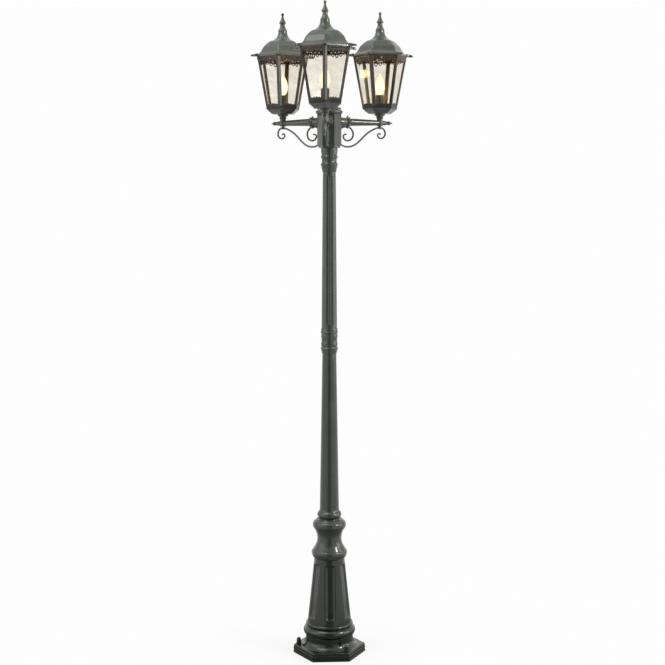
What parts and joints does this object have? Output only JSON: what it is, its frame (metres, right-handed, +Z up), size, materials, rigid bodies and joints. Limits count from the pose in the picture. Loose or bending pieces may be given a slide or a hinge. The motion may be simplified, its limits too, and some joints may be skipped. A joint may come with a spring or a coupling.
{
  "type": "triple head lamp post",
  "caption": "Free-standing garden lamp post with a hexagonal foot, a turned and fluted column and hexagonal coach lanterns on scrolled arms.",
  "frame": {"origin": "on the post's axis at ground level, the centre of the foot's anchor circle", "axes": "+Z up along the post, -Y to the front where the foot has a flat side and the first arm points, +X to the viewer's right"},
  "size_m": [0.5602, 0.5401, 2.23],
  "materials": {
    "post_paint": "semi-gloss dark grey-green paint on cast aluminium",
    "foot_paint": "semi-gloss dark grey-green paint, a little dustier low down",
    "head_paint": "semi-gloss dark paint",
    "lantern_paint": "semi-gloss dark paint with a warm cast",
    "zinc_steel": "zinc-plated, dull",
    "terminal_plastic": "moulded, matte",
    "cable_sheath": "matte sheath",
    "lead_sleeve": "heat-proof sleeve",
    "nipple_brass": "turned thread",
    "pane_glass": "slightly wavy, pale warm glass",
    "holder_plastic": "candle-tube plastic, satin grey-brown",
    "bulb_glass": "clear glass on a plated screw cap"
  },
  "bodies": {
    "post": {"base_foot": "foot_paint", "anchor_nuts": "zinc_steel", "pedestal": "post_paint", "urn_collar": "post_paint", "lower_tube": "post_paint", "mid_coupling": "post_paint", "upper_tube": "post_paint", "top_collar": "post_paint", "tie_rod": "zinc_steel", "tie_rod_nuts": "zinc_steel", "tie_rod_bridge": "zinc_steel", "terminal_block": "terminal_plastic", "supply_cable": "cable_sheath"},
    "head": {"hub": "head_paint", "hub_cap": "head_paint", "hub_grub_screws": "zinc_steel", "junction_block": "terminal_plastic", "lantern_nipples": "nipple_brass", "arm_1": "head_paint", "arm_collar_1": "head_paint", "arm_tip_1": "head_paint", "scroll_1": "head_paint", "lamp_lead_1": "lead_sleeve", "arm_2": "head_paint", "arm_collar_2": "head_paint", "arm_tip_2": "head_paint", "scroll_2": "head_paint", "lamp_lead_2": "lead_sleeve", "arm_3": "head_paint", "arm_collar_3": "head_paint", "arm_tip_3": "head_paint", "scroll_3": "head_paint", "lamp_lead_3": "lead_sleeve"},
    "lantern_1": {"foot_cup_1": "lantern_paint", "dish_1": "lantern_paint", "cage_1": "lantern_paint", "panes_1": "pane_glass", "lampholder_1": "holder_plastic", "roof_bridge_1": "zinc_steel", "roof_stud_1": "zinc_steel"},
    "lid_1": {"roof_1": "lantern_paint"},
    "spire_1": {"finial_1": "lantern_paint"},
    "lamp_1": {"bulb_1": "bulb_glass"},
    "lantern_2": {"foot_cup_2": "lantern_paint", "dish_2": "lantern_paint", "cage_2": "lantern_paint", "panes_2": "pane_glass", "lampholder_2": "holder_plastic", "roof_bridge_2": "zinc_steel", "roof_stud_2": "zinc_steel"},
    "lid_2": {"roof_2": "lantern_paint"},
    "spire_2": {"finial_2": "lantern_paint"},
    "lamp_2": {"bulb_2": "bulb_glass"},
    "lantern_3": {"foot_cup_3": "lantern_paint", "dish_3": "lantern_paint", "cage_3": "lantern_paint", "panes_3": "pane_glass", "lampholder_3": "holder_plastic", "roof_bridge_3": "zinc_steel", "roof_stud_3": "zinc_steel"},
    "lid_3": {"roof_3": "lantern_paint"},
    "spire_3": {"finial_3": "lantern_paint"},
    "lamp_3": {"bulb_3": "bulb_glass"}
  },
  "joints": [
    {"name": "head_turn", "type": "hinge", "parent": "post", "child": "head", "pos_m": [0, 0, 1.765], "axis": [0, 0, 1], "range_deg": [-175, 175]},
    {"name": "lantern_turn_1", "type": "hinge", "parent": "head", "child": "lantern_1", "pos_m": [-0.02364, -0.19255, 1.864], "axis": [0, 0, 1], "range_deg": [-175, 175]},
    {"name": "roof_lift_1", "type": "slide", "parent": "lantern_1", "child": "lid_1", "axis": [0, 0, 1], "range_m": [0, 0.11]},
    {"name": "finial_turn_1", "type": "hinge", "parent": "lid_1", "child": "spire_1", "pos_m": [-0.02364, -0.19255, 2.168], "axis": [0, 0, 1], "continuous": true},
    {"name": "bulb_turn_1", "type": "hinge", "parent": "lantern_1", "child": "lamp_1", "pos_m": [-0.02364, -0.19255, 1.925], "axis": [0, 0, 1], "range_deg": [0, 1080]},
    {"name": "lantern_turn_2", "type": "hinge", "parent": "head", "child": "lantern_2", "pos_m": [0.17858, 0.0758, 1.864], "axis": [0, 0, 1], "range_deg": [-175, 175]},
    {"name": "roof_lift_2", "type": "slide", "parent": "lantern_2", "child": "lid_2", "axis": [0, 0, 1], "range_m": [0, 0.11]},
    {"name": "finial_turn_2", "type": "hinge", "parent": "lid_2", "child": "spire_2", "pos_m": [0.17858, 0.0758, 2.168], "axis": [0, 0, 1], "continuous": true},
    {"name": "bulb_turn_2", "type": "hinge", "parent": "lantern_2", "child": "lamp_2", "pos_m": [0.17858, 0.0758, 1.925], "axis": [0, 0, 1], "range_deg": [0, 1080]},
    {"name": "lantern_turn_3", "type": "hinge", "parent": "head", "child": "lantern_3", "pos_m": [-0.15494, 0.11675, 1.864], "axis": [0, 0, 1], "range_deg": [-175, 175]},
    {"name": "roof_lift_3", "type": "slide", "parent": "lantern_3", "child": "lid_3", "axis": [0, 0, 1], "range_m": [0, 0.11]},
    {"name": "finial_turn_3", "type": "hinge", "parent": "lid_3", "child": "spire_3", "pos_m": [-0.15494, 0.11675, 2.168], "axis": [0, 0, 1], "continuous": true},
    {"name": "bulb_turn_3", "type": "hinge", "parent": "lantern_3", "child": "lamp_3", "pos_m": [-0.15494, 0.11675, 1.925], "axis": [0, 0, 1], "range_deg": [0, 1080]}
  ]
}
